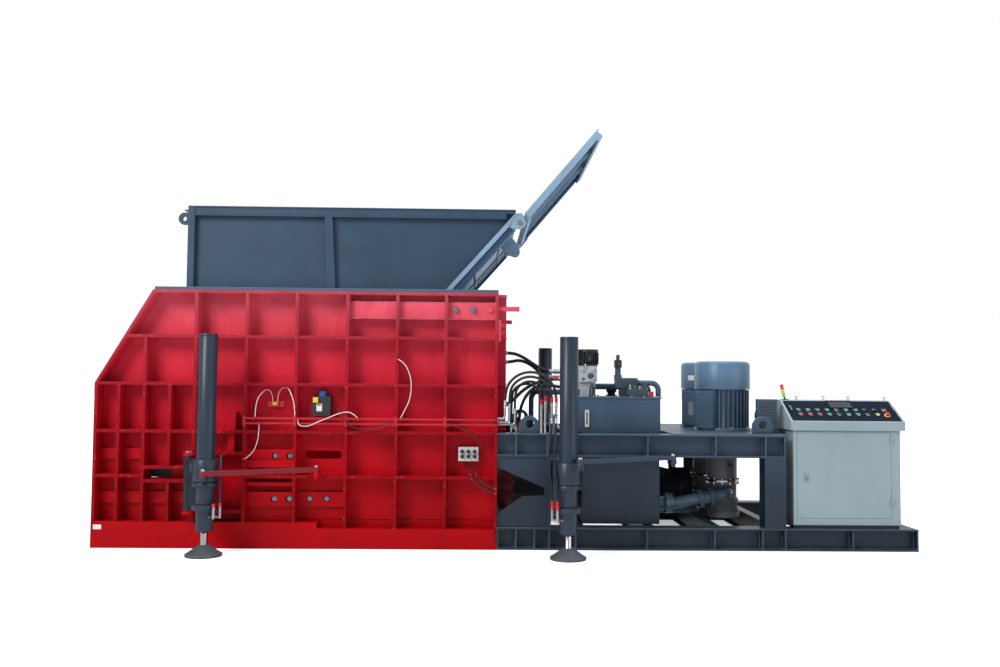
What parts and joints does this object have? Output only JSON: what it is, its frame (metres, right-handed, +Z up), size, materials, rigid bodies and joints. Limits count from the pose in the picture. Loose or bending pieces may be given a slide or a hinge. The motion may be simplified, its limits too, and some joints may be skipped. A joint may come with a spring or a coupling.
{
  "type": "scrap metal box shear",
  "caption": "Horizontal scrap box shear: ribbed red shear box with ram, open hopper with hinged flap, jack legs, oil tank, vertical motors and control desk.",
  "frame": {"origin": "on the floor under the middle of the machine's bounding box", "axes": "+X along the machine from the outlet to the control desk, -Y the side with the service fittings, +Z up"},
  "size_m": [8.22, 3.588, 4.2607],
  "materials": {
    "blade_steel": "ground",
    "box_plastic": "matt",
    "brace_paint": "worn",
    "button_plastic": "gloss",
    "cabinet_paint": "fine texture",
    "cable_sheath": "matt",
    "cooler_paint": "painted",
    "cylinder_paint": "satin",
    "fan_plastic": "matt",
    "fitting_plastic": "matt",
    "foot_iron": "cast, grease at the neck",
    "hose_rubber": "matt",
    "lamp_plastic": "translucent",
    "motor_paint": "satin",
    "panel_paint": "satin",
    "pin_steel": "turned",
    "pipe_steel": "zinc plated",
    "pump_iron": "cast",
    "ram_paint": "scraped",
    "red_paint": "worn gloss",
    "rod_chrome": "polished",
    "slate_paint": "satin",
    "stop_plastic": "gloss",
    "valve_iron": "cast"
  },
  "bodies": {
    "machine": {"near_side_wall": "red_paint", "far_side_wall": "red_paint", "box_floor": "red_paint", "front_end_frame": "red_paint", "rear_end_plate": "red_paint", "top_deck_plate": "slate_paint", "blade_frame": "red_paint", "fixed_blades": "blade_steel", "main_cylinder": "cylinder_paint", "hopper_near_side": "slate_paint", "hopper_far_side": "slate_paint", "hopper_end_wall": "slate_paint", "hopper_chute": "slate_paint", "hinge_pins": "pin_steel", "base_frame": "slate_paint", "deck_frame": "slate_paint", "frame_posts": "slate_paint", "oil_tank": "slate_paint", "tank_fittings": "fitting_plastic", "valve_block": "valve_iron", "pressure_pipes": "pipe_steel", "hydraulic_hoses": "hose_rubber", "thin_cables": "cable_sheath", "drive_motors": "motor_paint", "motor_cowls": "motor_paint", "pump_sets": "pump_iron", "suction_pipes": "motor_paint", "oil_cooler": "cooler_paint", "console_cabinet": "cabinet_paint", "console_panel": "panel_paint", "tower_light": "lamp_plastic", "junction_box": "box_plastic", "grease_pump": "fitting_plastic"},
    "ram": {"ram_carriage": "ram_paint", "moving_blades": "blade_steel", "piston_rod": "rod_chrome"},
    "flap": {"hopper_flap": "slate_paint"},
    "fan_near": {"motor_fan_near": "fan_plastic"},
    "fan_far": {"motor_fan_far": "fan_plastic"},
    "fan_cooler": {"cooler_fan": "fan_plastic"},
    "door": {"console_door": "cabinet_paint"},
    "selector_left_body": {"selector_left": "button_plastic"},
    "selector_right_body": {"selector_right": "button_plastic"},
    "emergency_stop_body": {"emergency_stop": "stop_plastic"},
    "leg_left_near": {"leg_arm_left_near": "slate_paint", "leg_barrel_left_near": "slate_paint"},
    "jack_left_near": {"leg_foot_left_near": "foot_iron"},
    "brace_left_near": {"leg_brace_left_near": "brace_paint"},
    "leg_left_far": {"leg_arm_left_far": "slate_paint", "leg_barrel_left_far": "slate_paint"},
    "jack_left_far": {"leg_foot_left_far": "foot_iron"},
    "brace_left_far": {"leg_brace_left_far": "brace_paint"},
    "leg_right_near": {"leg_arm_right_near": "slate_paint", "leg_barrel_right_near": "slate_paint"},
    "jack_right_near": {"leg_foot_right_near": "foot_iron"},
    "brace_right_near": {"leg_brace_right_near": "brace_paint"},
    "leg_right_far": {"leg_arm_right_far": "slate_paint", "leg_barrel_right_far": "slate_paint"},
    "jack_right_far": {"leg_foot_right_far": "foot_iron"},
    "brace_right_far": {"leg_brace_right_far": "brace_paint"}
  },
  "joints": [
    {"name": "ram_stroke", "type": "slide", "parent": "machine", "child": "ram", "axis": [-1, 0, 0], "range_m": [0, 2.3]},
    {"name": "flap_swing", "type": "hinge", "parent": "machine", "child": "flap", "pos_m": [0.09, 0, 3.278], "axis": [0, -1, 0], "range_deg": [0, 38]},
    {"name": "leg_left_near_swing", "type": "hinge", "parent": "machine", "child": "leg_left_near", "pos_m": [-3.148, -1.205, 0.6], "axis": [0, 0, 1], "range_deg": [0, 34]},
    {"name": "jack_left_near_lift", "type": "slide", "parent": "leg_left_near", "child": "jack_left_near", "axis": [0, 0, -1], "range_m": [-0.1, 1.3]},
    {"name": "brace_left_near_turn", "type": "hinge", "parent": "leg_left_near", "child": "brace_left_near", "pos_m": [-2.866, -1.70273, 0.8], "axis": [0, 0, 1], "range_deg": [-50.3, 0]},
    {"name": "leg_left_far_swing", "type": "hinge", "parent": "machine", "child": "leg_left_far", "pos_m": [-3.148, 1.205, 0.6], "axis": [0, 0, -1], "range_deg": [0, 34]},
    {"name": "jack_left_far_lift", "type": "slide", "parent": "leg_left_far", "child": "jack_left_far", "axis": [0, 0, -1], "range_m": [-0.1, 1.3]},
    {"name": "brace_left_far_turn", "type": "hinge", "parent": "leg_left_far", "child": "brace_left_far", "pos_m": [-2.866, 1.70273, 0.8], "axis": [0, 0, -1], "range_deg": [-50.3, 0]},
    {"name": "leg_right_near_swing", "type": "hinge", "parent": "machine", "child": "leg_right_near", "pos_m": [0.466, -1.205, 0.6], "axis": [0, 0, 1], "range_deg": [0, 58]},
    {"name": "jack_right_near_lift", "type": "slide", "parent": "leg_right_near", "child": "jack_right_near", "axis": [0, 0, -1], "range_m": [-0.1, 1.3]},
    {"name": "brace_right_near_turn", "type": "hinge", "parent": "leg_right_near", "child": "brace_right_near", "pos_m": [0.645, -1.74721, 0.8], "axis": [0, 0, 1], "range_deg": [-85.1, 0]},
    {"name": "leg_right_far_swing", "type": "hinge", "parent": "machine", "child": "leg_right_far", "pos_m": [0.466, 1.205, 0.6], "axis": [0, 0, -1], "range_deg": [0, 58]},
    {"name": "jack_right_far_lift", "type": "slide", "parent": "leg_right_far", "child": "jack_right_far", "axis": [0, 0, -1], "range_m": [-0.1, 1.3]},
    {"name": "brace_right_far_turn", "type": "hinge", "parent": "leg_right_far", "child": "brace_right_far", "pos_m": [0.645, 1.74721, 0.8], "axis": [0, 0, -1], "range_deg": [-85.1, 0]},
    {"name": "fan_near_spin", "type": "hinge", "parent": "machine", "child": "fan_near", "pos_m": [2.338, -0.35, 1.7], "axis": [0, 0, 1], "continuous": true},
    {"name": "fan_far_spin", "type": "hinge", "parent": "machine", "child": "fan_far", "pos_m": [2.338, 0.35, 1.7], "axis": [0, 0, 1], "continuous": true},
    {"name": "fan_cooler_spin", "type": "hinge", "parent": "machine", "child": "fan_cooler", "pos_m": [2.655, -0.84, 1.338], "axis": [0, 1, 0], "continuous": true},
    {"name": "door_swing", "type": "hinge", "parent": "machine", "child": "door", "pos_m": [3.867, -1.098, 0.75], "axis": [0, 0, 1], "range_deg": [0, 110]},
    {"name": "selector_left_turn", "type": "hinge", "parent": "machine", "child": "selector_left_body", "pos_m": [3.6655, -0.94255, 1.39597], "axis": [0, -0.4951, 0.8688], "range_deg": [-45, 45]},
    {"name": "selector_right_turn", "type": "hinge", "parent": "machine", "child": "selector_right_body", "pos_m": [3.764, -0.94255, 1.39597], "axis": [0, -0.4951, 0.8688], "range_deg": [-45, 45]},
    {"name": "emergency_stop_press", "type": "slide", "parent": "machine", "child": "emergency_stop_body", "axis": [0, 0.4951, -0.8688], "range_m": [0, 0.005], "stiffness_N_per_m": 1500, "springref_m": -0.004}
  ],
  "couplings": [
    {"joint": "brace_left_near_turn", "follows": "leg_left_near_swing", "ratio": -1.45},
    {"joint": "brace_left_far_turn", "follows": "leg_left_far_swing", "ratio": -1.45},
    {"joint": "brace_right_near_turn", "follows": "leg_right_near_swing", "ratio": -1.45},
    {"joint": "brace_right_far_turn", "follows": "leg_right_far_swing", "ratio": -1.45}
  ]
}
